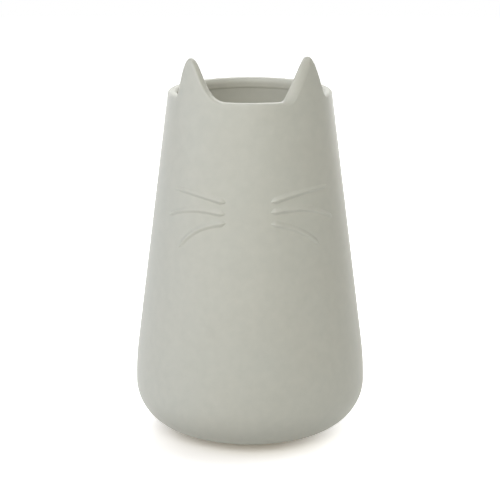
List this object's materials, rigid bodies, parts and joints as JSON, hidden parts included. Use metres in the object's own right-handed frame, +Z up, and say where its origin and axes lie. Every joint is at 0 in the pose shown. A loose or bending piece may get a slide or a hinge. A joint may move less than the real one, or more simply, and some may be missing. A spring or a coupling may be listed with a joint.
{
  "type": "cat planter",
  "caption": "Tapered ceramic pot with a rounded belly, a round mouth, cat ears rising from its rim and raised whiskers on its wall.",
  "frame": {"origin": "centre of the foot, on the surface that the pot stands on", "axes": "+Z up along the pot's axis, -Y out of the middle of the face, +X to the viewer's right"},
  "size_m": [0.144, 0.144, 0.2388],
  "materials": {
    "sage_glaze": "matte eggshell glaze, pale sage grey",
    "bare_clay": "unglazed fired clay, dry and slightly rough"
  },
  "bodies": {
    "root": {"pot_body": "sage_glaze", "foot_ring": "bare_clay", "ear_left": "sage_glaze", "ear_right": "sage_glaze", "whisker_left_upper": "sage_glaze", "whisker_left_middle": "sage_glaze", "whisker_left_lower": "sage_glaze", "whisker_right_upper": "sage_glaze", "whisker_right_middle": "sage_glaze", "whisker_right_lower": "sage_glaze"}
  },
  "joints": []
}
